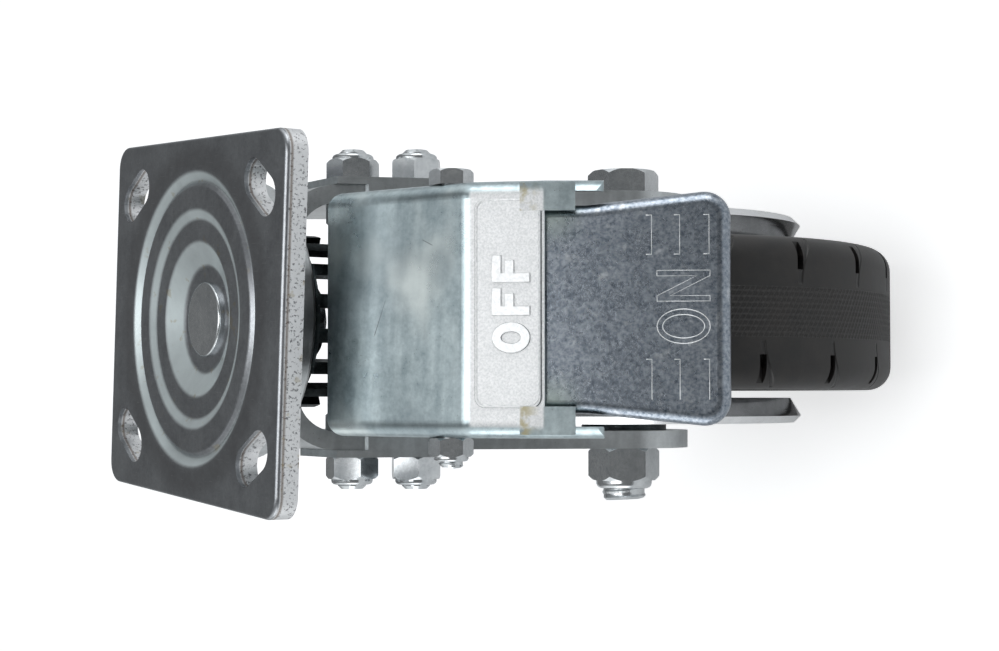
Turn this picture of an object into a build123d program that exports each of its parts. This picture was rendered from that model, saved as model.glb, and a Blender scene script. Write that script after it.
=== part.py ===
from build123d import *
import os
from math import atan2, cos, degrees, hypot, pi, radians, sin, sqrt

# Plate-mounted swivel castor with a total-lock brake.  Millimetres, +Z up.
# The origin is the centre of the plate's top face, on the swivel axis.
# +X points to the trailing side, where the pedals are, and Y runs along the axle.

# ---- the castor as a whole ----
wheel_diameter = 152.4
crown_to_tyre = 0.5       # between the crown's teeth and the top of the tyre
trail = 50.0              # swivel axis to axle
rest_swivel = 3.4         # how far the fork stands turned from the plate, degrees
running_gap = 0.05        # radial clearance of a running fit
face_gap = 0.1            # clearance between faces that slide past each other

# ---- top plate ----
plate_length = 114.3
plate_width = 101.6
plate_thick = 6.4
plate_corner = 6.4
plate_edge_round = 1.2
slot_inner = (38.1, 38.1)
slot_outer = (46.04, 33.34)
slot_dia = 11.0
track_radius = 34.35      # ball circle
track_half = 2.85         # half the width of the raised track crest
crest_drop = 0.5
groove_drop = 1.8
groove_run = 1.8          # slope between crest and groove bottom
groove_outer_run = 2.6
press_rim = 41.6
dimple_top_radius = 22.3
dimple_floor_radius = 14.2
dimple_drop = 5.3

# ---- swivel bearing and kingpin ----
upper_ball_dia = 7.9
upper_ball_count = 18
upper_ball_level = -11.0
lower_ball_dia = 6.0
lower_ball_count = 10
lower_ball_circle = 15.6
lower_ball_level = -20.5
groove_slack = 0.25       # how much larger a ball groove's radius is than its ball's
kingpin_dia = 14.0
kingpin_head_dia = 21.2
kingpin_head_height = 1.5
kingpin_end_level = -40.0
race_outer_radius = 20.0
race_top_level = -21.6
race_base_level = -26.6
seal_wall = 1.0
seal_top_level = -8.7

# ---- lock crown ----
crown_thick = 2.5
crown_radius = 25.0
crown_teeth = 16
crown_tooth_width = 4.0
crown_tooth_end = -37.6
crown_nut_flats = 22.0
crown_nut_height = 8.0

# ---- fork ----
fork_sheet = 5.0
head_top_level = -13.4
head_radius = 39.5
strap_half = 29.0
leg_outer = 36.4          # half the width over the legs
shoulder_radius = 15.0
boss_radius = 18.5
track_bulge = 1.8

# ---- axle and hub ----
axle_dia = 12.0
axle_flats = 18.0
axle_head_height = 7.5
axle_nut_height = 12.0
axle_end_beyond_nut = 3.0
sleeve_dia = 17.0
hub_washer_dia = 24.6
hub_washer_thick = 2.2
guard_sheet = 1.2
guard_radius = 51.0
guard_depth = 7.0
guard_bead = 2.0

# ---- wheel ----
tyre_width = 40.0
tyre_shoulder = 6.5
tyre_bore_radius = 58.0
rim_half = 18.4
rim_inner_radius = 51.0
web_half = 4.0
hub_half = 27.4
hub_radius = 19.0
hub_bore_dia = 28.0
wheel_ribs = 6
shoulder_grooves = 20
groove_width = 2.0
groove_depth = 2.2
groove_reach = 9.0        # how far a shoulder groove runs in from the tyre's side
roller_count = 10
roller_half = 20.0

# ---- brake pivot ----
pivot_behind_axle = 30.0
pivot_above_tyre = 1.2
pivot_dia = 6.0
pivot_flats = 10.0
pivot_head_height = 4.0
pivot_nut_height = 6.0
pivot_end_beyond_nut = 1.5
pivot_sleeve_dia = 8.4
pivot_eye = 5.6

# ---- brackets and their bolts ----
bracket_sheet = 2.0
bracket_bolt_offsets = ((-56.0, -1.8), (-46.0, -16.7))   # from the pivot, as all offsets below
bracket_top = 9.9
bracket_relief = 1.9      # the web round the leg starts here
bracket_low = -24.1
bracket_front = -68.0
bracket_toe = (-40.0, -55.0)     # X of the plate's lower corners
bracket_toe_drop = 5.5
bracket_corner = 4.0
ear_foot = 10.0
bracket_bolt_dia = 8.0
bracket_bolt_flats = 13.0
bracket_head_height = 5.3
bracket_nut_height = 8.0
bracket_end_beyond_nut = 1.2
ear_outer = 29.2

# ---- OFF lever ----
lever_sheet = 1.8
lever_outer = 32.2
lever_round = 4.5
cover_top_offset = (-30.3, 19.6)
cover_bend_offset = (13.0, 3.8)
pad_end_offset = (27.2, -10.4)
skirt_offsets = ((19.5, -17.6), (7.0, -8.6), (-8.0, -8.1), (-21.0, 4.4), (-29.0, 12.4))
skirt_round = 4.0
cover_bend_round = 6.0
tongue_along = 15.0       # how far the side tongues reach down the ON pedal
tongue_depth = 8.5
tongue_wall = 3.0
tongue_round = 3.5
panel_rise = 0.8
panel_half = 26.0
panel_shift = 1.5
panel_corner = 2.5
panel_margin = 1.8        # bare pad left at each long edge of the panel
tab_inner = 24.2
tab_root = (-6.0, -1.6)
tab_along = 7.4
tab_above = 2.6

# ---- ON pedal ----
pedal_sheet = 2.2
pedal_start_offset = (25.8, -11.8)
pedal_slope = 50.3        # degrees below level
pedal_length = 45.5
pedal_tuck = 1.5          # how far its root runs on under the OFF pad
pedal_root_half = 26.0
pedal_tip_half = 29.7
pedal_widen_from = 10.0
pedal_widen_round = 30.0
pedal_corner = 6.5
pedal_round = 3.4
pedal_rim_depth = 5.5
foot_along = 6.0          # how far the pedal's arms run on under it
pedal_travel = 7.0        # degrees from released to locked

# ---- brake shoe and lock lever ----
shoe_thick = 3.0
shoe_gap = 0.3            # left between the shoe and the tyre when locked
shoe_from = 54.0          # where the shoe starts and ends round the wheel, degrees
shoe_to = 63.5
shoe_teeth = 4
shoe_tooth_radius = 0.9
lock_sheet = 2.2
tongue_width = 4.6
tongue_tip = 20.5
tongue_below_teeth = 0.5
tongue_fall = 0.4         # how much lower the tongue's tip ends than its root
yoke_above_tongue = 7.1
yoke_clear = 3.0          # between the crown and the lock lever's web
yoke_length = 22.0
yoke_depth = 5.0

# ---- worked out from the sizes above ----
wheel_radius = wheel_diameter / 2
tyre_top_level = crown_tooth_end - crown_to_tyre
axle_level = tyre_top_level - wheel_radius
pivot = (trail + pivot_behind_axle, tyre_top_level + pivot_above_tyre)
leg_inner = leg_outer - fork_sheet
head_low_level = head_top_level - fork_sheet
kingpin_radius = kingpin_dia / 2
upper_ball = upper_ball_dia / 2
lower_ball = lower_ball_dia / 2
ear_inner = ear_outer - bracket_sheet
bracket_outer = leg_outer + bracket_sheet
pedal_arm_inner = pedal_root_half - pedal_sheet
lever_inner = lever_outer - lever_sheet
tongue_top_level = crown_tooth_end - tongue_below_teeth
yoke_level = tongue_top_level + yoke_above_tongue
yoke_front = crown_radius + yoke_clear
yoke_back = yoke_front + yoke_length


def from_pivot(offset):
    return pivot[0] + offset[0], pivot[1] + offset[1]


bracket_bolt_places = [from_pivot(offset) for offset in bracket_bolt_offsets]
cover_top = from_pivot(cover_top_offset)
cover_bend = from_pivot(cover_bend_offset)
pad_end = from_pivot(pad_end_offset)
pedal_start = from_pivot(pedal_start_offset)


# ---- helpers ----
def outline(points):
    return make_face(Polyline(*points, close=True))


def rounded(face, corners, radius):
    # Rounds the corners of a flat outline that lie at the given places.
    for place in corners:
        near = face.vertices().sort_by_distance((place[0], place[1], 0))[0]
        face = fillet(near, radius)
    return face


def side_plate(face, y_from, y_to):
    # A flat outline drawn in X and Z, made solid between two Y planes.
    return Pos(0, y_from, 0) * extrude(Plane.XZ * face, amount=y_to - y_from, dir=(0, 1, 0))


def across(face, half):
    return side_plate(face, -half, half)


def turned(points):
    # A profile of radius and level, turned about Z.
    return revolve(Plane.XZ * outline(points), Axis.Z)


def on_y(shape, x, z, y, side=1):
    # Lays a piece that was built up along +Z on a line parallel to Y, pointing out to one side.
    return Pos(x, side * y, z) * Rot(-90 * side, 0, 0) * shape


def both_sides(shape):
    return [shape, mirror(shape, about=Plane.XZ)]


def disc(radius, low, high):
    return Pos(0, 0, (low + high) / 2) * Cylinder(radius, high - low)


def rod(radius, low, high, tip):
    shaft = disc(radius, low, high)
    return chamfer(shaft.edges().sort_by(Axis.Z)[-1], tip)


def hexagon(flats, height, both_ends=False):
    prism = extrude(RegularPolygon(flats / 2, 6, major_radius=False), height)
    blank = disc(flats / sqrt(3), 0, height)
    rims = blank.edges().filter_by(GeomType.CIRCLE).sort_by(Axis.Z)
    blank = chamfer(rims if both_ends else rims[-1], flats * 0.07)
    return prism & blank


def lock_nut(flats, height, hole):
    collar = 0.2 * height
    top = disc(flats * 0.45, 0, height)
    top = fillet(top.edges().sort_by(Axis.Z)[-1], collar * 0.7)
    return hexagon(flats, height - collar, both_ends=True) + top - disc(hole, -1, height + 1)


def pedal_point(along, depth=0.0):
    # A point on the ON pedal: along its slope from the start, and in below its face.
    turn = radians(pedal_slope)
    x = pedal_start[0] + along * cos(turn) - depth * sin(turn)
    z = pedal_start[1] - along * sin(turn) - depth * cos(turn)
    return x, z


def turned_about_pivot(shape, angle):
    return shape.rotate(Axis((pivot[0], 0, pivot[1]), (0, 1, 0)), angle)


# ---- plate, kingpin and swivel bearing ----
def ball_groove(circle, ball_radius, level, below):
    # The groove that a ring of balls runs in, one running gap from them.
    radius = ball_radius + groove_slack
    shift = groove_slack - running_gap
    return Pos(0, 0, level + (shift if below else -shift)) * Torus(circle, radius)


def top_plate():
    plate = extrude(RectangleRounded(plate_length, plate_width, plate_corner), -plate_thick)
    plate = fillet(plate.faces().sort_by(Axis.Z)[-1].edges(), plate_edge_round)
    crest_out = track_radius + track_half
    crest_in = track_radius - track_half
    groove_out = press_rim - groove_outer_run
    groove_in = crest_in - groove_run * 2
    top = [
        (press_rim + 3, 0), (press_rim, 0), (groove_out, -groove_drop), (crest_out, -crest_drop),
        (crest_in, -crest_drop), (groove_in, -groove_drop), (dimple_top_radius, -groove_drop),
        (dimple_floor_radius, -dimple_drop), (0, -dimple_drop),
    ]
    under = [
        (0, -dimple_drop - plate_thick), (dimple_floor_radius, -dimple_drop - plate_thick),
        (dimple_top_radius, -groove_drop - plate_thick), (groove_out + 1, -groove_drop - plate_thick),
        (press_rim + 1, -plate_thick), (press_rim + 3, -plate_thick),
    ]
    section = rounded(outline(top + under), top[1:2] + top[3:5] + top[6:8], 1.6)
    section = rounded(section, [top[2]], 0.5)
    pressing = revolve(Plane.XZ * section, Axis.Z)
    plate = plate - disc(press_rim + 3, -plate_thick - 1, 1) + pressing
    plate -= ball_groove(track_radius, upper_ball, upper_ball_level, below=False)
    plate -= disc(kingpin_radius, -30, 1)
    length = hypot(slot_outer[0] - slot_inner[0], slot_outer[1] - slot_inner[1])
    lean = degrees(atan2(slot_outer[1] - slot_inner[1], slot_outer[0] - slot_inner[0]))
    middle = [(a + b) / 2 for a, b in zip(slot_inner, slot_outer)]
    for across_x in (1, -1):
        for across_y in (1, -1):
            slot = SlotCenterToCenter(length, slot_dia, rotation=lean * across_x * across_y)
            plate -= Pos(middle[0] * across_x, middle[1] * across_y, -plate_thick - 1) * extrude(slot, plate_thick + 2)
    return plate


def kingpin():
    shaft = disc(kingpin_radius - running_gap / 2, kingpin_end_level, -dimple_drop)
    shaft = chamfer(shaft.edges().sort_by(Axis.Z)[0], 1.0)
    head = disc(kingpin_head_dia / 2, -dimple_drop, -dimple_drop + kingpin_head_height)
    head = fillet(head.edges().sort_by(Axis.Z)[-1], 0.8)
    return shaft + head


def lower_race():
    race = disc(race_outer_radius, race_base_level, race_top_level)
    race = fillet(race.edges().filter_by(GeomType.CIRCLE), 0.8)
    race -= ball_groove(lower_ball_circle, lower_ball, lower_ball_level, below=True)
    return race - disc(kingpin_radius, race_base_level - 1, race_top_level + 1)


def ball_ring(radius, circle, level, count):
    return Compound([loc * Sphere(radius) for loc in Pos(0, 0, level) * PolarLocations(circle, count)])


def lock_crown():
    top = race_base_level
    disc_low = top - crown_thick
    skirt = disc(crown_radius, crown_tooth_end, top)
    skirt = fillet(skirt.edges().filter_by(GeomType.CIRCLE).sort_by(Axis.Z)[-1], crown_thick * 0.8)
    skirt -= disc(crown_radius - crown_thick, crown_tooth_end - 1, disc_low)
    pitch = 360 / crown_teeth
    gap = 2 * crown_radius * sin(pi / crown_teeth) - crown_tooth_width
    cutter_length = 2 * crown_thick + 1
    height = disc_low - crown_tooth_end + crown_thick * 0.4
    for tooth in range(crown_teeth):
        cutter = Pos(crown_radius, 0, crown_tooth_end + height / 2 - 0.5) * Box(cutter_length, gap, height + 1)
        skirt -= Rot(0, 0, rest_swivel + tooth * pitch) * cutter
    return skirt - disc(kingpin_radius, crown_tooth_end - 1, top + 1)


def crown_nut():
    top = race_base_level - crown_thick
    nut = hexagon(crown_nut_flats, crown_nut_height, both_ends=True)
    return Pos(0, 0, top - crown_nut_height) * (nut - disc(kingpin_radius, -1, crown_nut_height + 1))


def raceway_seal():
    ring = disc(head_radius, head_top_level, seal_top_level)
    return ring - disc(head_radius - seal_wall, head_top_level - 1, 0)


# ---- fork ----
def u_section(half, top, corner):
    low = axle_level - 2 * boss_radius
    face = Pos(0, (top + low) / 2) * Rectangle(2 * half, top - low)
    return fillet(face.vertices().group_by(Axis.Y)[-1], corner)


def leg_outline():
    head = Pos(0, head_top_level - fork_sheet / 2) * Rectangle(2 * strap_half, fork_sheet)
    boss = Pos(trail, axle_level) * Circle(boss_radius)
    return make_hull((head + boss).edges())


def leg_edge(level):
    # X of the legs' straight trailing edge at a level, tangent to the boss.
    top = (strap_half, head_top_level)
    reach = hypot(trail - top[0], axle_level - top[1])
    line = atan2(axle_level - top[1], trail - top[0])
    slope = line + atan2(boss_radius, sqrt(reach ** 2 - boss_radius ** 2))
    return top[0] + (level - top[1]) * cos(slope) / sin(slope)


def fork():
    shell = u_section(leg_outer, head_top_level, shoulder_radius)
    shell -= u_section(leg_inner, head_low_level, shoulder_radius - fork_sheet)
    strap = extrude(Plane.YZ * shell, amount=trail + 2 * boss_radius, both=True)
    body = strap & across(leg_outline(), leg_outer)
    body += disc(head_radius, head_low_level, head_top_level)
    ring_out = track_radius + upper_ball + 0.4
    bulge = disc(ring_out, head_low_level - track_bulge, head_low_level)
    bulge = chamfer(bulge.edges().sort_by(Axis.Z)[0], 1.5)
    bulge -= disc(track_radius - upper_ball - 0.8, head_low_level - track_bulge - 1, head_low_level + 1)
    body += bulge
    body -= ball_groove(track_radius, upper_ball, upper_ball_level, below=True)
    body -= ball_groove(lower_ball_circle, lower_ball, lower_ball_level, below=False)
    body -= disc(kingpin_radius + 1.5, head_low_level - 5, 0)
    body -= on_y(disc(axle_dia / 2 + running_gap, -leg_outer - 1, leg_outer + 1), trail, axle_level, 0)
    for x, z in bracket_bolt_places:
        body -= on_y(disc(bracket_bolt_dia / 2 + running_gap, -leg_outer - 1, leg_outer + 1), x, z, 0)
    return body


# ---- axle, washers and thread guards ----
def axle_bolt():
    end = 2 * leg_outer + axle_nut_height + axle_end_beyond_nut
    bolt = rod(axle_dia / 2, 0, end, 1.2)
    head = Rot(180, 0, 0) * hexagon(axle_flats, axle_head_height)
    return on_y(bolt + head, trail, axle_level, -leg_outer, side=-1)


def axle_nut():
    nut = lock_nut(axle_flats, axle_nut_height, axle_dia / 2 + running_gap / 2)
    return on_y(nut, trail, axle_level, leg_outer, side=-1)


def axle_sleeve():
    half = leg_inner - running_gap
    tube = disc(sleeve_dia / 2, -half, half) - disc(axle_dia / 2 + running_gap, -half - 1, half + 1)
    return on_y(tube, trail, axle_level, 0)


def hub_washers():
    inner = leg_inner - running_gap - hub_washer_thick
    ring = disc(hub_washer_dia / 2, inner, inner + hub_washer_thick)
    ring -= disc(sleeve_dia / 2 + running_gap, inner - 1, inner + hub_washer_thick + 1)
    return Compound(both_sides(on_y(ring, trail, axle_level, 0)))


def thread_guard(side):
    # A shallow pressed pan: flat centre, a swage, and a beaded rim turned in to the wheel.
    face = leg_inner - running_gap - hub_washer_thick
    back = face - guard_sheet
    low = face - guard_depth
    r = guard_radius
    points = [
        (sleeve_dia / 2 + running_gap, face), (r * 0.55, face), (r * 0.62, face - 1.5),
        (r * 0.84, face - 1.5), (r - guard_bead * 2, face), (r - guard_bead, face),
        (r, face - guard_bead), (r - 1.0, face - guard_bead * 1.8), (r - 3.0, low),
        (r - 3.0 - guard_sheet, low), (r - 1.0 - guard_sheet, back - guard_bead * 1.7),
        (r - guard_sheet, back - guard_bead * 0.7), (r - guard_bead, back), (r - guard_bead * 2, back),
        (r * 0.84, back - 1.5), (r * 0.62, back - 1.5), (r * 0.55, back),
        (sleeve_dia / 2 + running_gap, back),
    ]
    return on_y(turned(points), trail, axle_level, 0, side)


# ---- wheel ----
def tyre():
    half = tyre_width / 2
    section = Pos((wheel_radius + tyre_bore_radius) / 2, 0) * Rectangle(wheel_radius - tyre_bore_radius, tyre_width)
    section = fillet(section.vertices().group_by(Axis.X)[-1], tyre_shoulder)
    body = revolve(Plane.XZ * section, Axis.Z)
    cutter = Pos(wheel_radius, 0, half - groove_reach / 2 + 1)
    cutter *= Box(2 * groove_depth, groove_width, groove_reach + 2)
    for number in range(shoulder_grooves):
        body -= Rot(0, 0, number * 360 / shoulder_grooves) * cutter
        body -= Rot(0, 0, (number + 0.5) * 360 / shoulder_grooves) * mirror(cutter, about=Plane.XY)
    return on_y(body, trail, axle_level, 0)


def wheel_core():
    rim = turned([
        (hub_bore_dia / 2, -hub_half), (hub_radius - 1.5, -hub_half), (hub_radius, -web_half - 2),
        (hub_radius + 3, -web_half), (rim_inner_radius - 4, -web_half), (rim_inner_radius, -rim_half + 1),
        (rim_inner_radius + 1, -rim_half), (tyre_bore_radius, -rim_half), (tyre_bore_radius, rim_half),
        (rim_inner_radius + 1, rim_half), (rim_inner_radius, rim_half - 1), (rim_inner_radius - 4, web_half),
        (hub_radius + 3, web_half), (hub_radius, web_half + 2), (hub_radius - 1.5, hub_half),
        (hub_bore_dia / 2, hub_half),
    ])
    length = rim_inner_radius - hub_radius
    rib = Pos((rim_inner_radius + hub_radius) / 2, 0, 0) * Box(length, 5, 2 * rim_half - 8)
    for number in range(wheel_ribs):
        rim += Rot(0, 0, number * 360 / wheel_ribs) * rib
    return on_y(rim, trail, axle_level, 0)


def roller_sizes():
    inner, outer = sleeve_dia / 2, hub_bore_dia / 2
    return (inner + outer) / 2, (outer - inner) / 2 - running_gap


def bearing_rollers():
    circle, radius = roller_sizes()
    roller = disc(radius, -roller_half, roller_half)
    rollers = Compound([loc * roller for loc in PolarLocations(circle, roller_count)])
    return on_y(rollers, trail, axle_level, 0)


def roller_cage():
    circle, radius = roller_sizes()
    half = hub_half - 1
    cage = disc(circle + 1, -half, half) - disc(circle - 1, -half - 1, half + 1)
    window = disc(radius + running_gap, -roller_half - running_gap, roller_half + running_gap)
    for loc in PolarLocations(circle, roller_count):
        cage -= loc * window
    return on_y(cage, trail, axle_level, 0)


# ---- brackets and the pivot ----
def brake_bracket(side):
    # One pressing: a plate outside the leg, a web round the leg's trailing edge and an ear inside the lever.
    top, relief, low = [pivot[1] + offset for offset in (bracket_top, bracket_relief, bracket_low)]
    front, toe, heel = [pivot[0] + offset for offset in (bracket_front, *bracket_toe)]
    clear = face_gap * 3
    edge = [(leg_edge(level) + clear + bracket_sheet, level) for level in (top, relief, low)]
    corners = [(front, top), (toe, low - bracket_toe_drop), (heel, low), (front, (low + relief) / 2)]
    plate = outline([corners[0], edge[0], edge[2]] + corners[1:])
    body = side_plate(rounded(plate, corners, bracket_corner), leg_outer, bracket_outer)
    web = outline([edge[1], edge[2], (edge[2][0] - bracket_sheet, low), (edge[1][0] - bracket_sheet, relief)])
    body += side_plate(web, ear_inner, bracket_outer)
    eye = Pos(*pivot) * Circle(pivot_eye)
    foot = low + ear_foot
    root = [edge[1], (edge[2][0], foot), (edge[2][0] - bracket_sheet, foot), (edge[1][0] - bracket_sheet, relief)]
    ear = make_hull((outline(root) + eye).edges())
    body += side_plate(ear, ear_inner, ear_outer)
    body -= on_y(disc(pivot_dia / 2 + running_gap / 2, 0, bracket_outer + 1), pivot[0], pivot[1], 0)
    for x, z in bracket_bolt_places:
        body -= on_y(disc(bracket_bolt_dia / 2 + running_gap, 0, bracket_outer + 1), x, z, 0)
    return body if side > 0 else mirror(body, about=Plane.XZ)


def bracket_bolts():
    grip = bracket_outer - leg_inner
    bolt = rod(bracket_bolt_dia / 2, 0, grip + bracket_nut_height + bracket_end_beyond_nut, 0.9)
    bolt += Rot(180, 0, 0) * hexagon(bracket_bolt_flats, bracket_head_height)
    return Compound([on_y(bolt, x, z, leg_inner, side) for x, z in bracket_bolt_places for side in (1, -1)])


def bracket_nuts():
    nut = lock_nut(bracket_bolt_flats, bracket_nut_height, bracket_bolt_dia / 2 + running_gap / 2)
    turns = (10, 25)
    places = zip(bracket_bolt_places, turns)
    return Compound([
        on_y(Rot(0, 0, turn) * nut, x, z, bracket_outer, side) for (x, z), turn in places for side in (1, -1)
    ])


def pivot_bolt():
    seat = lever_outer + face_gap
    end = 2 * seat + pivot_nut_height + pivot_end_beyond_nut
    bolt = rod(pivot_dia / 2, 0, end, 0.7) + Rot(180, 0, 0) * hexagon(pivot_flats, pivot_head_height)
    return on_y(bolt, pivot[0], pivot[1], -seat, side=-1)


def pivot_nut():
    nut = lock_nut(pivot_flats, pivot_nut_height, pivot_dia / 2 + running_gap / 2)
    return on_y(nut, pivot[0], pivot[1], lever_outer + face_gap, side=-1)


def pivot_sleeve():
    half = ear_inner - running_gap
    tube = disc(pivot_sleeve_dia / 2, -half, half) - disc(pivot_dia / 2 + running_gap, -half - 1, half + 1)
    return on_y(tube, pivot[0], pivot[1], 0)


def pivot_washers():
    inner = pedal_root_half + face_gap
    outer = ear_inner - running_gap
    ring = disc(pivot_eye, inner, outer) - disc(pivot_sleeve_dia / 2 + running_gap, inner - 1, outer + 1)
    return Compound(both_sides(on_y(ring, pivot[0], pivot[1], 0)))


# ---- OFF lever ----
def unit(a, b):
    length = hypot(b[0] - a[0], b[1] - a[1])
    return (b[0] - a[0]) / length, (b[1] - a[1]) / length


def shifted(point, direction, along, inward):
    # Moves a point along a direction in X and Z, and inward, to the right of it.
    dx, dz = direction
    return point[0] + dx * along + dz * inward, point[1] + dz * along - dx * inward


def lever_region(depth):
    # Side view of everything that the lever's outer skin encloses, its skin moved in by a depth.
    cover = unit(cover_top, cover_bend)
    pad = unit(cover_bend, pad_end)
    over = hypot(cover_bend_offset[0] - cover_top_offset[0], cover_bend_offset[1] - cover_top_offset[1])
    start = shifted(cover_top, cover, -over if depth else 0, depth)
    half_turn = (atan2(pad[1], pad[0]) - atan2(cover[1], cover[0])) / 2
    bend = shifted(cover_bend, cover, depth * sin(half_turn) / cos(half_turn), depth)
    end = shifted(pad_end, pad, 0, depth)
    tip = pedal_point(tongue_along)
    slope = unit(pad_end, tip)
    tip = shifted(tip, slope, over if depth else 0, depth)
    if depth:
        far = [(tip[0], tip[1] - over), (start[0], tip[1] - over)]
    else:
        far = [pedal_point(tongue_along - 2, tongue_depth)] + [from_pivot(offset) for offset in skirt_offsets]
    face = outline([start, bend, end, tip] + far)
    face = rounded(face, [bend], max(cover_bend_round - depth, 1))
    face = rounded(face, [end], max(tongue_round - depth, 1))
    if not depth:
        face = rounded(face, far[1:5], skirt_round)
    return face, [tip, far[0]]


def off_lever():
    side_view, tongue_ends = lever_region(0)
    outer = across(side_view, lever_outer)
    skin = [edge for edge in outer.edges() if abs(abs(edge.center().Y) - lever_outer) < 0.01 and on_skin(edge)]
    outer = fillet(skin, lever_round) & across(rounded(side_view, tongue_ends, tongue_round), lever_outer)
    inner = across(lever_region(lever_sheet)[0], lever_inner)
    long_edges = [edge for edge in inner.edges() if abs(abs(edge.center().Y) - lever_inner) < 0.01 and on_skin(edge)]
    inner = fillet(long_edges, lever_round - lever_sheet)
    lever = outer - inner
    # Past the pad only the two side tongues go on.
    pad = unit(cover_bend, pad_end)
    reach = lever_outer
    window = outline([
        shifted(pad_end, pad, 0, -reach), shifted(pad_end, pad, reach, -reach),
        shifted(pad_end, pad, reach, reach), shifted(pad_end, pad, 0, reach),
    ])
    lever -= across(window, lever_outer - tongue_wall)
    # Raised panel for the word, pressed out of the pad.
    middle = ((cover_bend[0] + pad_end[0]) / 2, (cover_bend[1] + pad_end[1]) / 2)
    length = hypot(pad_end[0] - cover_bend[0], pad_end[1] - cover_bend[1])
    normal = (-pad[1], 0, pad[0])
    middle = (middle[0] + pad[0] * panel_rise, middle[1] + pad[1] * panel_rise)
    plane = Plane(origin=(middle[0], panel_shift, middle[1]), x_dir=(0, 1, 0), z_dir=normal)
    length -= 2 * panel_margin
    panel = RectangleRounded(2 * panel_half, length, panel_corner)
    recess = RectangleRounded(2 * panel_half - lever_sheet, length - lever_sheet, panel_corner - lever_sheet / 2)
    lever += extrude(plane * panel, panel_rise)
    lever -= extrude(plane.offset(-lever_sheet - 0.5) * recess, panel_rise + 0.5)
    # Tabs bent in over the pedal's root.
    near = shifted(pad_end, pad, *tab_root)
    far = pedal_point(tab_along, -tab_above)
    line = unit(near, far)
    strip = outline([near, far, shifted(far, line, 0, lever_sheet), shifted(near, line, 0, lever_sheet)])
    tab = side_plate(strip, tab_inner, lever_outer - 1.0)
    for piece in both_sides(tab):
        lever += piece
    lever -= on_y(disc(pivot_dia / 2 + running_gap, -lever_outer - 1, lever_outer + 1), pivot[0], pivot[1], 0)
    return lever


def on_skin(edge):
    # True for an edge of the lever's outer skin line, in either shell of it.
    x, z = edge.center().X, edge.center().Z
    cover = unit(cover_top, cover_bend)
    inward = (x - cover_bend[0]) * cover[1] - (z - cover_bend[1]) * cover[0]
    pad = unit(cover_bend, pad_end)
    inward_pad = (x - pad_end[0]) * pad[1] - (z - pad_end[1]) * pad[0]
    tip = pedal_point(tongue_along)
    slope = unit(pad_end, tip)
    inward_tip = (x - tip[0]) * slope[1] - (z - tip[1]) * slope[0]
    return min(inward, inward_pad, inward_tip) < lever_sheet + 0.3


# ---- ON pedal, shoe and lock lever ----
def pedal_plane():
    turn = radians(pedal_slope)
    return Plane(
        origin=(pedal_start[0], 0, pedal_start[1]), x_dir=(cos(turn), 0, -sin(turn)), z_dir=(sin(turn), 0, cos(turn))
    )


def pedal_outline(inset):
    root = -pedal_tuck - (pedal_length if inset else 0)
    half_root = pedal_root_half - inset
    half_tip = pedal_tip_half - inset
    end = pedal_length - inset
    points = [(root, -half_root), (pedal_widen_from, -half_root), (end, -half_tip)]
    points += [(end, half_tip), (pedal_widen_from, half_root), (root, half_root)]
    face = outline(points)
    face = rounded(face, [(end, -half_tip), (end, half_tip)], pedal_corner - inset)
    return rounded(face, [(pedal_widen_from, -half_root), (pedal_widen_from, half_root)], pedal_widen_round)


def on_pedal():
    plane = pedal_plane()
    block = extrude(pedal_outline(0), -pedal_rim_depth)
    top = block.faces().sort_by(Axis.Z)[-1]
    rim = [edge for edge in top.edges() if edge.center().X > -pedal_tuck + 0.1]
    block = fillet(rim, pedal_round)
    core = Pos(0, 0, -pedal_sheet) * extrude(pedal_outline(pedal_sheet), -pedal_rim_depth)
    top = core.faces().sort_by(Axis.Z)[-1]
    rim = [edge for edge in top.edges() if edge.center().X > 1 - pedal_tuck - pedal_length]
    core = fillet(rim, pedal_round - pedal_sheet)
    tray = plane * (block - core)
    eye = Pos(*pivot) * Circle(pivot_eye)
    foot = outline([
        pedal_point(-pedal_tuck, pedal_sheet), pedal_point(foot_along, pedal_sheet + 0.4),
        pedal_point(foot_along, pedal_rim_depth), pedal_point(-pedal_tuck, pedal_rim_depth + pedal_sheet * 2),
    ])
    arm = make_hull((eye + foot).edges())
    for piece in both_sides(side_plate(arm, pedal_arm_inner, pedal_root_half)):
        tray += piece
    return tray - on_y(disc(pivot_sleeve_dia / 2 + running_gap, -leg_outer, leg_outer), pivot[0], pivot[1], 0)


def brake_shoe():
    # Modelled where it bears on the tyre, then swung back to its released place.
    inner = wheel_radius + shoe_gap
    outer = inner + shoe_thick
    ring = Circle(outer) - Circle(inner)
    far = 2 * outer
    start, end = radians(shoe_from), radians(shoe_to)
    wedge = outline([(0, 0), (far * cos(start), far * sin(start)), (far * cos(end), far * sin(end))])
    face = ring & wedge
    for number in range(shoe_teeth):
        angle = radians(shoe_from + (shoe_to - shoe_from) * (number + 0.5) / shoe_teeth)
        face -= Pos(inner * cos(angle), inner * sin(angle)) * Circle(shoe_tooth_radius)
    shoe = across(Pos(trail, axle_level) * face, pedal_arm_inner)
    return turned_about_pivot(shoe, -pedal_travel)


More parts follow.
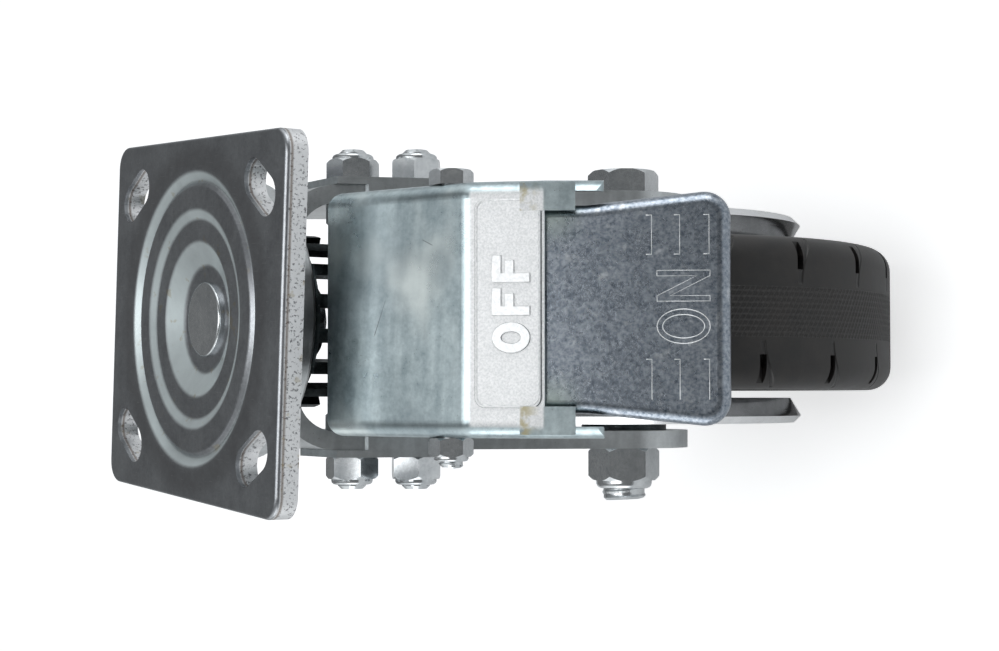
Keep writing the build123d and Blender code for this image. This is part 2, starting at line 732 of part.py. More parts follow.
def lock_lever():
    # A yoke: two arms from the pivot, a web above the tyre and a tongue that stands under the crown.
    outer = pedal_arm_inner - face_gap
    eye = Pos(*pivot) * Circle(pivot_eye)
    bar = outline([
        (yoke_front, yoke_level), (yoke_back, yoke_level), (yoke_back, yoke_level - yoke_depth),
        (yoke_front, yoke_level - yoke_depth),
    ])
    arm = make_hull((eye + bar).edges())
    lever = Part()
    for piece in both_sides(side_plate(arm, outer - lock_sheet, outer)):
        lever += piece
    web = outline([
        (yoke_front, yoke_level), (yoke_back, yoke_level), (yoke_back, yoke_level - lock_sheet),
        (yoke_front, yoke_level - lock_sheet),
    ])
    lever += across(web, outer)
    drop = [
        (yoke_front + lock_sheet, yoke_level), (yoke_front + lock_sheet, tongue_top_level + tongue_fall - lock_sheet),
        (tongue_tip, tongue_top_level - lock_sheet), (tongue_tip, tongue_top_level),
        (yoke_front, tongue_top_level + tongue_fall), (yoke_front, yoke_level),
    ]
    lever += across(outline(drop), tongue_width / 2)
    return lever - on_y(disc(pivot_sleeve_dia / 2 + running_gap, -leg_outer, leg_outer), pivot[0], pivot[1], 0)


# ---- write each piece ----
def save(name, shape, swivels=True):
    if swivels:
        shape = shape.rotate(Axis.Z, rest_swivel)
    export_step(shape, f"parts/{name}.step")


os.makedirs("parts", exist_ok=True)

for maker in (top_plate, kingpin, lower_race, lock_crown, crown_nut):
    save(maker.__name__, maker(), swivels=False)

save("upper_balls", ball_ring(upper_ball, track_radius, upper_ball_level, upper_ball_count))
save("lower_balls", ball_ring(lower_ball, lower_ball_circle, lower_ball_level, lower_ball_count))

swivelling = (
    raceway_seal, fork, axle_bolt, axle_nut, axle_sleeve, hub_washers, tyre, wheel_core, bearing_rollers,
    roller_cage, bracket_bolts, bracket_nuts, pivot_bolt, pivot_nut, pivot_sleeve, pivot_washers, off_lever,
    on_pedal, brake_shoe, lock_lever,
)
for maker in swivelling:
    save(maker.__name__, maker())

for side, name in ((1, "left"), (-1, "right")):
    save(f"thread_guard_{name}", thread_guard(side))
    save(f"brake_bracket_{name}", brake_bracket(side))
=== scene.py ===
import bpy
from math import cos, pi, radians, sin
from mathutils import Matrix, Vector


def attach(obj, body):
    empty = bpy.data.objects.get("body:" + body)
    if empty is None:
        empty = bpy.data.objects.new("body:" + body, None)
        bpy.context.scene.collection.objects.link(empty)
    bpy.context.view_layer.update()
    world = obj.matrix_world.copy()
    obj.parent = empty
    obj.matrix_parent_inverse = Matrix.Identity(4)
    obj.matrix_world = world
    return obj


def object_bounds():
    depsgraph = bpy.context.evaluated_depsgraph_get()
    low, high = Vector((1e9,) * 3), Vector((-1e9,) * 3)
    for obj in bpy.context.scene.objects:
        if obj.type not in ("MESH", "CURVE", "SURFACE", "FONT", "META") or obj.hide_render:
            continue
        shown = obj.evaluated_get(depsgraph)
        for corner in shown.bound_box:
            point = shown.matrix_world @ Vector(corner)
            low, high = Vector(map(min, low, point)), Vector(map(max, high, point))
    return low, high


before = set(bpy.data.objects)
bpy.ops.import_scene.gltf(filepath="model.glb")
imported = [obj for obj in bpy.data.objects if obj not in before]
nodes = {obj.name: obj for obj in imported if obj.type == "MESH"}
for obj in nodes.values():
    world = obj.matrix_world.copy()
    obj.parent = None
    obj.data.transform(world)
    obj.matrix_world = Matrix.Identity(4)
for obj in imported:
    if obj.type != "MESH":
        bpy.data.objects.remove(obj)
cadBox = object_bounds()
print("frame loaded,", len(nodes), "nodes")

mm = 0.001
restSwivel = radians(3.4)      # the fork stands turned by this much from the plate
axle = (50.0, -114.3)          # X and Z of the axle and of the brake pivot, in mm
pivot = (80.0, -36.9)
offPad = {"bend": (93.0, -33.1), "middle": (100.1, -40.2), "sideways": 1.5, "slope": radians(45)}
pedalTray = {"start": (105.8, -48.7), "slope": radians(50.3)}


def at(x, y, z):
    # A place in the fork's own frame, in mm, as a place in the scene.
    c, s = cos(restSwivel), sin(restSwivel)
    return Vector(((x * c - y * s) * mm, (x * s + y * c) * mm, z * mm))


def onPlate(x, y, z):
    return Vector((x * mm, y * mm, z * mm))


class Value:
    # Wraps an output socket, so that sums on it add Math nodes.
    def __init__(self, paint, socket):
        self.paint = paint
        self.socket = socket

    def mathNode(self, operation, *others):
        inputs = [self] + list(others)
        return self.paint.add("ShaderNodeMath", {"operation": operation}, dict(enumerate(inputs)))

    def __add__(self, other):
        return self.mathNode("ADD", other)

    def __radd__(self, other):
        return self + other

    def __sub__(self, other):
        return self.mathNode("SUBTRACT", other)

    def __rsub__(self, other):
        return self * -1 + other

    def __mul__(self, other):
        return self.mathNode("MULTIPLY", other)

    def __rmul__(self, other):
        return self * other

    def __pow__(self, other):
        return self.mathNode("POWER", other)

    def __gt__(self, other):
        return self.mathNode("GREATER_THAN", other)

    def abs(self):
        return self.mathNode("ABSOLUTE")

    def wave(self):
        return self.mathNode("SINE")

    def step(self, low, high, top=1.0):
        # Rises smoothly from 0 at low to top at high.
        return self.paint.add(
            "ShaderNodeMapRange", {"interpolation_type": "SMOOTHSTEP"},
            {"Value": self, "From Min": low, "From Max": high, "To Max": top},
        )


class Paint:
    # A material, or the world, and its nodes.
    def __init__(self, name, world=False):
        self.block = bpy.data.worlds.new(name) if world else bpy.data.materials.new(name)
        self.block.use_nodes = True
        self.tree = self.block.node_tree
        self.tree.nodes.clear()

    def add(self, kind, settings=None, inputs=None, output=0):
        node = self.tree.nodes.new(kind)
        for key, setting in (settings or {}).items():
            if key == "stops":
                self.setStops(node.color_ramp, setting)
            else:
                setattr(node, key, setting)
        for key, given in (inputs or {}).items():
            if isinstance(given, Value):
                self.tree.links.new(given.socket, node.inputs[key])
            else:
                node.inputs[key].default_value = given
        return Value(self, node.outputs[output]) if node.outputs else None

    def setStops(self, ramp, stops):
        while len(ramp.elements) < len(stops):
            ramp.elements.new(0.5)
        for element, (place, colour) in zip(ramp.elements, stops):
            element.position = place
            element.color = (*colour, 1)

    def position(self):
        return self.add("ShaderNodeTexCoord", output="Object")

    def along(self, direction, offset=0.0):
        # Distance along a direction in mm, from an offset in mm.
        inputs = {0: self.position(), 1: direction}
        dot = self.add("ShaderNodeVectorMath", {"operation": "DOT_PRODUCT"}, inputs, "Value")
        return dot * 1000 - offset

    def noise(self, scale, detail=4.0, rough=0.55, stretch=None, warp=0.0):
        place = self.position()
        if stretch:
            place = self.add("ShaderNodeMapping", None, {"Vector": place, "Scale": stretch})
        return self.add(
            "ShaderNodeTexNoise", None,
            {"Vector": place, "Scale": scale, "Detail": detail, "Roughness": rough, "Distortion": warp},
        )

    def specks(self, scale, size):
        cells = self.add("ShaderNodeTexVoronoi", None, {"Vector": self.position(), "Scale": scale})
        return 1 - cells.step(size * 0.6, size)

    def ramp(self, value, stops):
        return self.add("ShaderNodeValToRGB", {"stops": stops}, {"Fac": value})

    def mix(self, factor, first, second):
        inputs = {0: factor, 6: colourOf(first), 7: colourOf(second)}
        return self.add("ShaderNodeMix", {"data_type": "RGBA"}, inputs, 2)

    def bump(self, height, distance):
        return self.add("ShaderNodeBump", None, {"Height": height, "Distance": distance * mm})

    def finish(self, **inputs):
        names = {"colour": "Base Color", "metal": "Metallic", "rough": "Roughness", "normal": "Normal"}
        given = {names[key]: value for key, value in inputs.items()}
        shader = self.add("ShaderNodeBsdfPrincipled", None, given)
        self.add("ShaderNodeOutputMaterial", None, {"Surface": shader})
        return self.block


def colourOf(given):
    return given if isinstance(given, Value) or len(given) == 4 else (*given, 1)


def facing(x, y, z):
    # A direction in the fork's frame, as a direction in the scene.
    return tuple(at(x, y, z) / mm)


def slopeOf(angle):
    # The directions down a slope and square out of it, in the fork's frame.
    return (cos(angle), 0, -sin(angle)), (sin(angle), 0, cos(angle))


zincLooks = {
    # darkest and lightest plating, roughness, depth of grain, and the shares of streaks and clouds
    "plate": {
        "dark": (0.24, 0.25, 0.27), "light": (0.44, 0.46, 0.48),
        "rough": 0.29, "grain": 0.02, "streaks": 0.1, "clouds": 0.45,
    },
    "pressing": {
        "dark": (0.24, 0.31, 0.34), "light": (0.66, 0.76, 0.78),
        "rough": 0.27, "grain": 0.02, "streaks": 0.3, "clouds": 0.35,
    },
    # the pedal: a darker copy of the pressing's zinc, painted shade standing in for the dark reflection on
    # the pedal
    "pedal": {
        "dark": (0.13, 0.16, 0.20), "light": (0.42, 0.46, 0.51),
        "rough": 0.25, "grain": 0.04, "streaks": 0.0, "clouds": 0.18,
    },
    "fork": {
        "dark": (0.40, 0.42, 0.43), "light": (0.66, 0.69, 0.70),
        "rough": 0.30, "grain": 0.03, "streaks": 0.3, "clouds": 0.35,
    },
    "hardware": {
        "dark": (0.46, 0.49, 0.51), "light": (0.78, 0.80, 0.81),
        "rough": 0.16, "grain": 0.01, "streaks": 0.1, "clouds": 0.45,
    },
    "bright": {
        "dark": (0.70, 0.71, 0.72), "light": (0.90, 0.91, 0.92),
        "rough": 0.12, "grain": 0.01, "streaks": 0.0, "clouds": 0.5,
    },
}
stain = (0.42, 0.35, 0.20)
edgeGrime = (0.10, 0.09, 0.08)


def zincBase(name, look):
    # Cloudy zinc plating: soft clouds, rolling streaks, fine specks and a light grain.
    paint = Paint(name)
    clouds = paint.noise(55, 5, 0.6, warp=0.4)
    mottle = paint.noise(420, 3, 0.6)
    streaks = paint.noise(26, 3, 0.5, stretch=(12, 1, 12))
    dirt = paint.specks(950, 0.13) * paint.noise(120, 2).step(0.5, 0.62)
    share = look["streaks"]
    fine = paint.noise(1100, 2, 0.6)
    cloudy = look["clouds"]
    tone = clouds * cloudy + mottle * 0.2 + fine * (0.8 - share - cloudy) + streaks * share
    colour = paint.ramp(tone, [(0.34, look["dark"]), (0.66, look["light"])])
    colour = paint.mix(dirt * 0.6, colour, edgeGrime)
    rough = clouds * 0.16 + mottle * 0.10 + (look["rough"] - 0.10)
    height = mottle * 0.6 + paint.noise(2600, 2) * 0.4
    return paint, colour, rough, height, clouds


def zinc(name, kind):
    look = zincLooks[kind]
    paint, colour, rough, height, clouds = zincBase(name, look)
    return paint.finish(colour=colour, metal=1.0, rough=rough, normal=paint.bump(height, look["grain"]))


def scratch(paint, start, end, width):
    # A thin line between two points on the surface, given in mm in the fork's frame.
    a, b = at(*start), at(*end)
    run = (b - a).normalized()
    length = (b - a).length * 1000
    forward = paint.along(tuple(run), run.dot(a) * 1000)
    away = paint.add("ShaderNodeVectorMath", {"operation": "SUBTRACT"}, {0: paint.position(), 1: tuple(a)})
    cross = paint.add("ShaderNodeVectorMath", {"operation": "CROSS_PRODUCT"}, {0: away, 1: tuple(run)})
    distance = paint.add("ShaderNodeVectorMath", {"operation": "LENGTH"}, {0: cross}, "Value") * 1000
    near = 1 - distance.step(width * 0.4, width)
    return near * forward.step(-0.5, 0.5) * (1 - forward.step(length - 0.5, length + 0.5))


def platePaint():
    look = zincLooks["plate"]
    paint, colour, rough, height, clouds = zincBase("platePaint", look)
    # A darker band rings the pressed groove, and the sheared edge of the plate is bright with dark pits.
    squared = [paint.along(axis) ** 2 for axis in ((1, 0, 0), (0, 1, 0))]
    radius = (squared[0] + squared[1]) ** 0.5
    ring = radius.step(41.0, 43.5) * (1 - radius.step(46.0, 52.0))
    colour = paint.mix(ring * (0.25 + 0.5 * paint.noise(300)), colour, (0.19, 0.19, 0.20))
    level = paint.along((0, 0, 1))
    # Painted highlights: teal-white bands on the pressed rings stand in for their bright reflections, and the
    # plate is less metallic there.
    paintedRingHighlight = 0.0
    for low, high in ((38.2, 42.2), (27.4, 31.6), (14.6, 22.6)):
        paintedRingHighlight = radius.step(low, low + 1.4) * (1 - radius.step(high - 1.4, high)) + paintedRingHighlight
    paintedRingHighlight = paintedRingHighlight * (0.55 + clouds * 0.5)
    colour = paint.mix(paintedRingHighlight, colour, (0.74, 0.83, 0.84))
    side = (1 - level.step(-1.4, -0.9)) * radius.step(46.5, 47.5)
    pits = paint.noise(1100, 4, 0.7).step(0.54, 0.64)
    edge = paint.mix(pits, (0.80, 0.81, 0.82), (0.22, 0.22, 0.23))
    edge = paint.mix(level.step(-2.4, -1.8) * (1 - level.step(-1.6, -1.2)) * 0.7, edge, (0.16, 0.11, 0.08))
    colour = paint.mix(side, colour, edge)
    rust = paint.noise(240, 3).step(0.62, 0.70) * (1 - level.step(-1.6, -0.2)) * 0.4
    colour = paint.mix(rust, colour, stain)
    lines = paint.noise(160, 2, 0.5, stretch=(1, 30, 1)).step(0.66, 0.70)
    colour = paint.mix(lines * 0.25, colour, (0.75, 0.77, 0.78))
    height = height + pits * side * 2
    normal = paint.bump(height, look["grain"])
    return paint.finish(colour=colour, metal=1 - paintedRingHighlight * 0.55, rough=rough, normal=normal)


def leverPaint():
    look = zincLooks["pressing"]
    paint, colour, rough, height, clouds = zincBase("leverPaint", look)
    # The pad under the word is painted nearly white, a painted reflection of a bright light, and made satin
    # and less metallic; the cut tabs keep a yellow passivate.
    down, out = slopeOf(offPad["slope"])
    bend = offPad["bend"]
    past = paint.along(facing(*down), down[0] * bend[0] + down[2] * bend[1])
    outward = paint.along(facing(*out), out[0] * bend[0] + out[2] * bend[1])
    acrossY = paint.along(facing(0, 1, 0))
    pad = past.step(0.4, 1.6) * (1 - past.step(19.6, 20.4)) * outward.step(-0.5, -0.2)
    pad = pad * (1 - acrossY.abs().step(28.5, 30.5))
    fine = paint.noise(1800, 3, 0.6)
    padReflectionColour = paint.ramp(fine, [(0.35, (0.72, 0.74, 0.75)), (0.65, (0.93, 0.94, 0.95))])
    colour = paint.mix(pad, colour, padReflectionColour)
    tab = (acrossY.abs().step(22.5, 23.5)) * past.step(13.0, 15.0) * outward.step(0.9, 1.6)
    colour = paint.mix(tab * paint.noise(330, 3).step(0.40, 0.62), colour, (0.50, 0.45, 0.27))
    cover = 1 - past.step(-5, -1)
    # Painted highlights and painted shade: random teal-white and dark patches on the cover stand in for its
    # cloudy reflections.
    glints = paint.noise(42, 3, 0.5, stretch=(1, 0.7, 1)).step(0.54, 0.72) * cover
    colour = paint.mix(glints * 0.7, colour, (0.90, 0.97, 0.95))
    shade = paint.noise(30, 3, 0.5).step(0.50, 0.70) * cover
    colour = paint.mix(shade * 0.5, colour, (0.20, 0.25, 0.28))
    marks = scratch(paint, (68.5, 3.0, -24.0), (65.0, -6.0, -22.8), 0.22)
    marks = marks + scratch(paint, (80.0, 18.0, -28.2), (83.0, 16.5, -29.3), 0.25)
    colour = paint.mix(marks, colour, (0.20, 0.22, 0.23))
    rough = rough + pad * 0.16
    normal = paint.bump(height + fine * pad * 2, look["grain"])
    return paint.finish(colour=colour, metal=1 - pad * 0.62, rough=rough, normal=normal)


def pedalShadedPaint():
    # A darker copy of the lever's zinc: painted shade for the pedal's dark reflection.
    look = zincLooks["pedal"]
    paint, colour, rough, height, clouds = zincBase("pedalShadedPaint", look)
    down, out = slopeOf(pedalTray["slope"])
    start = pedalTray["start"]
    past = paint.along(facing(*down), start[0] * down[0] + start[1] * down[2])
    acrossY = paint.along(facing(0, 1, 0)).abs()
    root = (1 - past.step(1.0, 11.0)) * acrossY.step(14, 25)
    colour = paint.mix(root * 0.6, colour, (0.42, 0.50, 0.44))
    rubbed = paint.noise(300, 4, 0.6).step(0.60, 0.72)
    colour = paint.mix(rubbed * 0.30, colour, (0.82, 0.84, 0.85))
    mark = scratch(paint, (112.0, -15.0, -54.2), (115.5, -23.0, -58.5), 0.2)
    colour = paint.mix(mark, colour, (0.90, 0.92, 0.92))
    return paint.finish(colour=colour, metal=1.0, rough=rough, normal=paint.bump(height, look["grain"]))


def darkSteel():
    paint = Paint("darkSteel")
    clouds = paint.noise(260, 4)
    colour = paint.ramp(clouds, [(0.35, (0.020, 0.026, 0.028)), (0.70, (0.085, 0.105, 0.110))])
    worn = paint.noise(900, 3).step(0.62, 0.72)
    colour = paint.mix(worn * 0.5, colour, (0.30, 0.33, 0.34))
    return paint.finish(colour=colour, metal=0.75, rough=0.30 + clouds * 0.2, normal=paint.bump(clouds, 0.02))


def rimPaint():
    paint = Paint("rimPaint")
    clouds = paint.noise(150, 5)
    cast = paint.noise(900, 4, 0.7)
    colour = paint.ramp(clouds, [(0.35, (0.17, 0.175, 0.18)), (0.70, (0.27, 0.275, 0.28))])
    return paint.finish(colour=colour, metal=0.2, rough=0.42 + clouds * 0.15, normal=paint.bump(cast, 0.06))


def rubber():
    paint = Paint("tyreRubber")
    grooves = {"perSide": 20, "inner": 7.0, "outer": 19.5, "curl": 0.0004}
    sideways = paint.along(facing(0, 1, 0))
    forward = paint.along(facing(1, 0, 0), axle[0])
    upward = paint.along((0, 0, 1), axle[1])
    angle = upward.mathNode("ARCTAN2", forward)
    # Fine ribs run round the middle of the tread and slanting hatching crosses them.
    band = 1 - sideways.abs().step(6.2, 6.6)
    ribs = (sideways * (2 * pi / 1.5)).wave()
    hatch = (angle * 300 + sideways * 2.4).wave().step(0.1, 0.8)
    dust = paint.noise(140, 5, 0.6)
    fine = paint.noise(1500, 3)
    colour = paint.ramp(dust, [(0.35, (0.005, 0.0048, 0.0048)), (0.72, (0.017, 0.0145, 0.013))])
    colour = paint.mix(band * hatch * 0.4, colour, (0.030, 0.027, 0.025))
    # A thin moulded groove carries each shoulder groove on towards the middle.
    away = sideways.abs()
    turn = (angle + (away - grooves["inner"]) ** 2 * grooves["curl"]) * (grooves["perSide"] / 2)
    left = sideways > 0
    nearLine = turn.wave().abs() * left + (turn + pi / 2).wave().abs() * (1 - left)
    line = (
        (1 - nearLine.step(0.02, 0.12))
        * away.step(grooves["inner"], 8.0)
        * (1 - away.step(19.0, grooves["outer"]))
    )
    # Painted shade: the groove's line is darkened in colour as well as sunk.
    colour = paint.mix(line * 0.8, colour, (0.002, 0.002, 0.002))
    height = band * (ribs * 0.5 + hatch * 0.6) + fine * 0.06 - line * 1.5
    rough = 0.34 + dust * 0.18 + band * 0.08
    return paint.finish(colour=colour, metal=0.0, rough=rough, normal=paint.bump(height, 0.30))


def groundSteel():
    paint = Paint("groundSteel")
    clouds = paint.noise(500, 3)
    colour = paint.ramp(clouds, [(0.35, (0.48, 0.49, 0.50)), (0.7, (0.66, 0.67, 0.68))])
    normal = paint.bump(clouds, 0.005)
    return paint.finish(colour=colour, metal=1.0, rough=0.15 + clouds * 0.15, normal=normal)


finishes = {
    "plate": platePaint(), "lever": leverPaint(), "pedal": pedalShadedPaint(), "fork": zinc("forkZinc", "fork"),
    "hardware": zinc("hardwareZinc", "hardware"), "bright": zinc("brightZinc", "bright"),
    "dark": darkSteel(), "rim": rimPaint(), "rubber": rubber(), "ground": groundSteel(),
}
finishOf = {
    "top_plate": "plate", "kingpin": "hardware", "lower_race": "fork",
    "lock_crown": "dark", "crown_nut": "hardware",
    "upper_balls": "ground", "lower_balls": "ground", "raceway_seal": "dark", "fork": "fork",
    "axle_bolt": "hardware", "axle_nut": "hardware", "axle_sleeve": "ground", "hub_washers": "dark",
    "thread_guard_left": "bright", "thread_guard_right": "bright", "tyre": "rubber", "wheel_core": "rim",
    "bearing_rollers": "ground", "roller_cage": "ground", "brake_bracket_left": "fork",
    "brake_bracket_right": "fork", "bracket_bolts": "hardware", "bracket_nuts": "hardware",
    "pivot_bolt": "hardware", "pivot_nut": "hardware", "pivot_sleeve": "ground", "pivot_washers": "hardware",
    "off_lever": "lever", "on_pedal": "pedal", "brake_shoe": "dark", "lock_lever": "fork",
}
for name, kind in finishOf.items():
    part = nodes[name]
    for holder in part.material_slots:
        holder.link = "OBJECT"
        holder.material = finishes[kind]
    if not part.material_slots:
        part.data.materials.append(finishes[kind])
print("finishes on", len(finishOf), "nodes")


threads = {
    # where each thread starts, the side it points to, and its radius, pitch and length, in mm
    "axle_thread": ((axle[0], -48.1, axle[1]), -1, 6.0, 1.75, 3.4),
    "pivot_thread": ((pivot[0], -38.2, pivot[1]), -1, 3.0, 1.0, 1.6),
}


def meshPiece(name, points, faces, material, body):
    mesh = bpy.data.meshes.new(name)
    mesh.from_pydata([tuple(point) for point in points], [], faces)
    mesh.update()
    piece = bpy.data.objects.new(name, mesh)
    bpy.context.scene.collection.objects.link(piece)
    mesh.materials.append(material)
    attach(piece, body)
    return piece


def thread(name, start, side, radius, pitch, length, steps=36):
    # A ridge of V section wound round the shaft.
    points, faces = [], []
    turns = max(length - pitch * 0.5, pitch) / pitch
    count = int(turns * steps)
    depth = pitch * 0.22
    chamferFrom = length - pitch * 0.8
    for number in range(count + 1):
        turn = 2 * pi * number / steps
        rise = number / steps * pitch
        taper = min(1.0, number / 6, (count - number) / 6)
        for offset, out in ((-0.42, -0.06), (0.0, depth * taper), (0.42, -0.06)):
            r = radius + out - max(0.0, rise + offset * pitch - chamferFrom) * 0.8
            y = start[1] + side * (rise + offset * pitch + pitch * 0.42)
            points.append(at(start[0] + r * cos(turn), y, start[2] + r * sin(turn)))
        if number:
            k = (number - 1) * 3
            faces += [(k, k + 1, k + 4, k + 3), (k + 1, k + 2, k + 5, k + 4), (k + 2, k, k + 3, k + 5)]
    last = count * 3
    faces += [(0, 2, 1), (last, last + 1, last + 2)]
    return meshPiece(name, points, faces, finishes["hardware"], "fork")


for name, (start, side, radius, pitch, length) in threads.items():
    thread(name, start, side, radius, pitch, length)
print("threads made")


# Letters are drawn in a square of their height, u to the right and v up.
def ellipse(half, high, steps=40):
    turns = [2 * pi * number / steps for number in range(steps)]
    return [(half * cos(turn), high * sin(turn)) for turn in turns]


def roundedBox(half, high, corner, steps=6):
    points = []
    for number, (side, rise) in enumerate(((1, 1), (-1, 1), (-1, -1), (1, -1))):
        for step in range(steps + 1):
            turn = pi / 2 * (number + step / steps)
            points.append((
                side * (half - corner) + corner * cos(turn),
                rise * (high - corner) + corner * sin(turn),
            ))
    return points


words = {
    "off": {
        "height": 9.4, "width": 6.6, "stroke": 2.1, "places": (-8.7, 0.2, 8.4), "line": 0.13, "raise": 0.35,
    },
    "on": {"height": 13.0, "width": 7.6, "stroke": 1.35, "line": 0.13, "sink": 0.04, "along": 33.9},
}


def letterLoops(letter, width, height, stroke):
    w, h, t = width / 2, height / 2, stroke
    if letter == "F":
        return [[(-w, -h), (t - w, -h), (t - w, -t * 0.3), (w * 0.6, -t * 0.3), (w * 0.6, t * 0.7),
                 (t - w, t * 0.7), (t - w, h - t), (w, h - t), (w, h), (-w, h)]]
    if letter == "N":
        return [[(-w, -h), (t - w, -h), (t - w, h - t * 2.4), (w - t, -h), (w, -h), (w, h), (w - t, h),
                 (w - t, t * 2.4 - h), (t - w, h), (-w, h)]]
    return [ellipse(w, h), ellipse(w - t, h - t)[::-1]]


def curvePiece(name, loops, place, right, up, material, body, bevel, fill=0.0):
    # Closed outlines on a plane, as thin rounded lines or, with fill, as a raised flat shape.
    curve = bpy.data.curves.new(name, "CURVE")
    curve.dimensions = "2D" if fill else "3D"
    curve.fill_mode = "BOTH" if fill else "FULL"
    curve.extrude = fill / 2 * mm
    curve.bevel_depth = bevel * mm
    curve.bevel_resolution = 2
    for loop, closed in loops:
        spline = curve.splines.new("POLY")
        spline.points.add(len(loop) - 1)
        for point, (u, v) in zip(spline.points, loop):
            point.co = (u * mm, v * mm, 0, 1)
        spline.use_cyclic_u = closed
    piece = bpy.data.objects.new(name, curve)
    bpy.context.scene.collection.objects.link(piece)
    turn = Matrix((right, up, right.cross(up))).transposed().to_4x4()
    piece.matrix_world = Matrix.Translation(place) @ turn
    bpy.context.view_layer.update()
    shape = bpy.data.meshes.new_from_object(piece.evaluated_get(bpy.context.evaluated_depsgraph_get()))
    shape.transform(piece.matrix_world)
    bpy.data.objects.remove(piece)
    solid = bpy.data.objects.new(name, shape)
    bpy.context.scene.collection.objects.link(solid)
    solid.data.materials.clear()
    solid.data.materials.append(material)
    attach(solid, body)
    return solid


def wordMetal(name, dark, light, metal):
    paint = Paint(name)
    grain = paint.noise(900, 3)
    colour = paint.ramp(grain, [(0.35, dark), (0.65, light)])
    return paint.finish(colour=colour, metal=metal, rough=0.25 + grain * 0.2, normal=paint.bump(grain, 0.01))


# Near white like the pad: painted reflection on the OFF letters; it also draws the panel's crest line of
# painted highlight.
offPaintedLightMetal = wordMetal("offLetters", (0.66, 0.68, 0.69), (0.88, 0.89, 0.90), 0.6)
# Near-white lines on the dark pedal: painted highlights along the edges of the pressed ON strokes and grip
# bars.
onHighlightMetal = wordMetal("onHighlightLines", (0.78, 0.81, 0.82), (0.95, 0.97, 0.97), 0.6)

yRight = Vector(facing(0, 1, 0))
padDown, padOut = [Vector(facing(*way)) for way in slopeOf(offPad["slope"])]
panelMiddle = at(offPad["middle"][0], offPad["sideways"], offPad["middle"][1])
wordMiddle = panelMiddle + padOut * 0.78 * mm + padDown * 1.7 * mm
shadowMetal = wordMetal("letterShadow", (0.10, 0.11, 0.12), (0.24, 0.26, 0.27), 0.6)


def edgePanel():
    # The pressed step round the panel is drawn as a dark line of painted shadow with a bright line of painted
    # highlight inside it.
    panel = {"half": 25.9, "high": 8.3, "corner": 2.4, "line": 0.20}
    middle = panelMiddle + padDown * 0.8 * mm
    for name, inset, metal, rise in (
        ("panel_shadow", 0.0, shadowMetal, 0.05),
        ("panel_crest_highlight", 0.45, offPaintedLightMetal, 0.78),
    ):
        loop = roundedBox(panel["half"] - inset, panel["high"] - inset, panel["corner"])
        place = middle + padOut * rise * mm
        curvePiece(name, [(loop, True)], place, yRight, -padDown, metal, "off_lever", panel["line"])


def writeOff():
    look = words["off"]
    for number, (letter, across) in enumerate(zip("OFF", look["places"])):
        place = wordMiddle + yRight * across * mm
        width = look["width"] + (0.8 if letter == "O" else 0.0)
        loops = [(loop, True) for loop in letterLoops(letter, width, look["height"], look["stroke"])]
        middle = place + padOut * look["raise"] / 2 * mm
        side = (yRight, -padDown)
        name = f"off_letter_{number + 1}"
        curvePiece(name, loops, middle, *side, offPaintedLightMetal, "off_lever", 0.12, look["raise"])
        rim = place + padOut * look["line"] * 0.6 * mm
        name = f"off_shadow_{number + 1}"
        curvePiece(name, loops, rim, *side, shadowMetal, "off_lever", look["line"] * 1.5)


pedalDown, pedalOut = [Vector(facing(*way)) for way in slopeOf(pedalTray["slope"])]


def onPedal(along, across):
    start = at(pedalTray["start"][0], 0, pedalTray["start"][1])
    return start + pedalDown * along * mm + yRight * across * mm - pedalOut * words["on"]["sink"] * mm


def writeOn():
    # The word and the grip bars are drawn as thin lines of painted highlight.
    look = words["on"]
    for name, letter, across in (("on_letter_1", "O", -4.5), ("on_letter_2", "N", 5.5)):
        width = look["width"] + (0.9 if letter == "O" else 0.0)
        loops = [(loop, True) for loop in letterLoops(letter, width, look["height"], look["stroke"])]
        place = onPedal(look["along"], across)
        curvePiece(name, loops, place, yRight, -pedalDown, onHighlightMetal, "on_pedal", look["line"])
    # Three grip bars on each side of the word, each with short hooks at its ends.
    hook = 1.4
    for side, inner, outer in ((1, 13.3, 23.0), (-1, 12.6, 22.5)):
        loops = []
        for along in (26.1, 33.0, 40.2):
            v = look["along"] - along
            ends = [(side * outer, v + hook), (side * outer, v)] if side > 0 else [(side * outer, v)]
            loops.append((ends + [(side * inner, v), (side * inner, v + hook)], False))
        name = "on_bars_left" if side > 0 else "on_bars_right"
        place = onPedal(look["along"], 0)
        curvePiece(name, loops, place, yRight, -pedalDown, onHighlightMetal, "on_pedal", look["line"])


edgePanel()
writeOff()
writeOn()
print("words made")


studio = {
    "floorSize": 6.0, "floorColour": (0.86, 0.87, 0.88), "skyLow": 0.20, "skyTop": 0.75, "sideBox": 0.85,
    "camera": (490.88, 7.62, 215.19), "lens": 67.85,
    "forward": (-0.83855, -0.01258, -0.54467), "up": (-0.02806, 0.99940, 0.02013),
}


def makeFloor():
    half = studio["floorSize"] / 2
    low = cadBox[0][2] - 0.0004
    mesh = bpy.data.meshes.new("floor")
    corners = [(-half, -half, low), (half, -half, low), (half, half, low), (-half, half, low)]
    mesh.from_pydata(corners, [], [(0, 1, 2, 3)])
    floor = bpy.data.objects.new("floor", mesh)
    bpy.context.scene.collection.objects.link(floor)
    paint = Paint("floorPaint")
    path = paint.add("ShaderNodeLightPath", output="Is Camera Ray")
    grain = paint.noise(3, 3)
    colour = paint.ramp(grain, [(0.3, studio["floorColour"]), (0.7, (0.88, 0.89, 0.90))])
    matt = paint.add("ShaderNodeBsdfDiffuse", None, {"Color": colour})
    glow = paint.add("ShaderNodeEmission", None, {"Color": (1, 1, 1, 1), "Strength": 0.55})
    both = paint.add("ShaderNodeAddShader", None, {0: matt, 1: glow})
    shown = paint.add("ShaderNodeMixShader", None, {0: path, 1: matt, 2: both})
    paint.add("ShaderNodeOutputMaterial", None, {"Surface": shown})
    mesh.materials.append(paint.block)


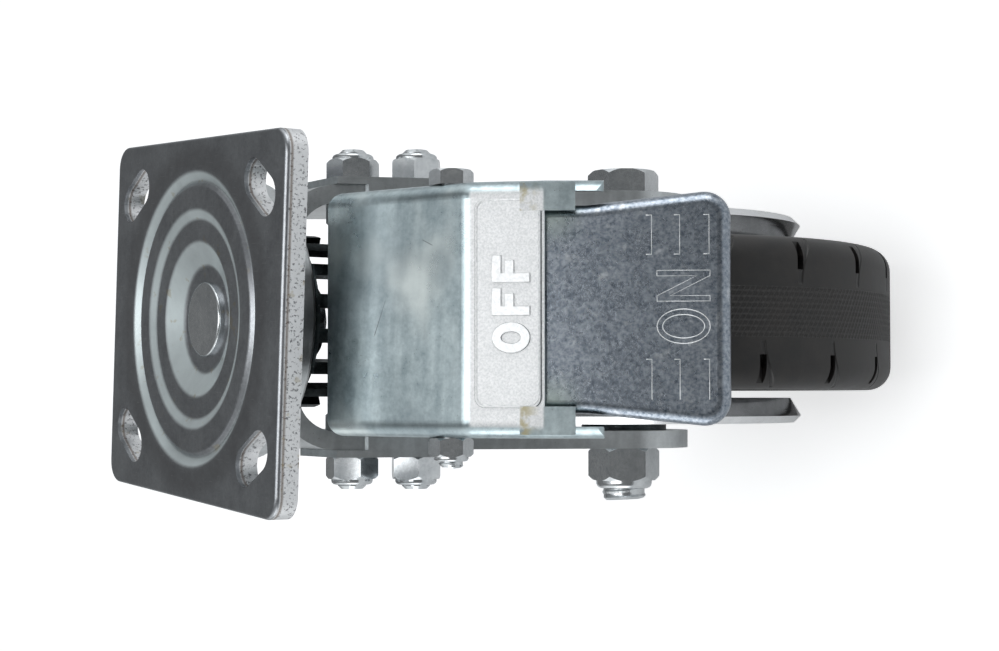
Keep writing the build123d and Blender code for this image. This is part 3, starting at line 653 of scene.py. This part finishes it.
def makeSky():
    # White behind the castor; what lights it and shows in the metal is dim low down,
    # with bright top and sides.
    paint = Paint("studioSky", world=True)
    direction = paint.add("ShaderNodeTexCoord", output="Generated")
    parts = paint.tree.nodes.new("ShaderNodeSeparateXYZ")
    paint.tree.links.new(direction.socket, parts.inputs[0])
    up = Value(paint, parts.outputs["Z"])
    side = Value(paint, parts.outputs["Y"]).abs()
    bright = (
        up.step(0.86, 1.0, studio["skyTop"])
        + side.step(0.50, 0.85, studio["sideBox"])
        + studio["skyLow"]
    )
    light = paint.add("ShaderNodeLightPath", output="Is Camera Ray")
    seen = paint.add("ShaderNodeMix", {"data_type": "FLOAT"}, {0: light, 2: bright, 3: 1.0})
    shader = paint.add("ShaderNodeBackground", None, {"Color": (0.97, 0.99, 1.0, 1), "Strength": seen})
    paint.add("ShaderNodeOutputWorld", None, {"Surface": shader})
    bpy.context.scene.world = paint.block


def lamp(name, place, target, size, power):
    light = bpy.data.lights.new(name, "AREA")
    light.shape = "RECTANGLE"
    light.size, light.size_y = size
    light.energy = power
    holder = bpy.data.objects.new(name, light)
    bpy.context.scene.collection.objects.link(holder)
    holder.location = place
    holder.rotation_euler = (Vector(target) - Vector(place)).to_track_quat("-Z", "Y").to_euler()


def makeCamera():
    camera = bpy.data.cameras.new("camera")
    camera.sensor_width = 36
    camera.lens = studio["lens"]
    camera.clip_start = 0.01
    holder = bpy.data.objects.new("camera", camera)
    bpy.context.scene.collection.objects.link(holder)
    back = -Vector(studio["forward"]).normalized()
    up = Vector(studio["up"])
    right = up.cross(back).normalized()
    up = back.cross(right)
    turn = Matrix((right, up, back)).transposed().to_4x4()
    holder.matrix_world = Matrix.Translation(onPlate(*studio["camera"])) @ turn
    bpy.context.scene.camera = holder


makeFloor()
makeSky()
lamp("overhead", (0.40, 0.0, 0.85), (0.06, 0, -0.06), (0.40, 0.8), 2.6)
lamp("sideFill", (0.25, 0.75, 0.10), (0.05, 0, -0.06), (0.5, 0.5), 1.6)
lamp("lowFill", (0.20, -0.75, -0.02), (0.05, 0, -0.06), (0.5, 0.5), 1.2)
makeCamera()
bpy.context.scene.view_settings.view_transform = "Standard"
print("stage made")
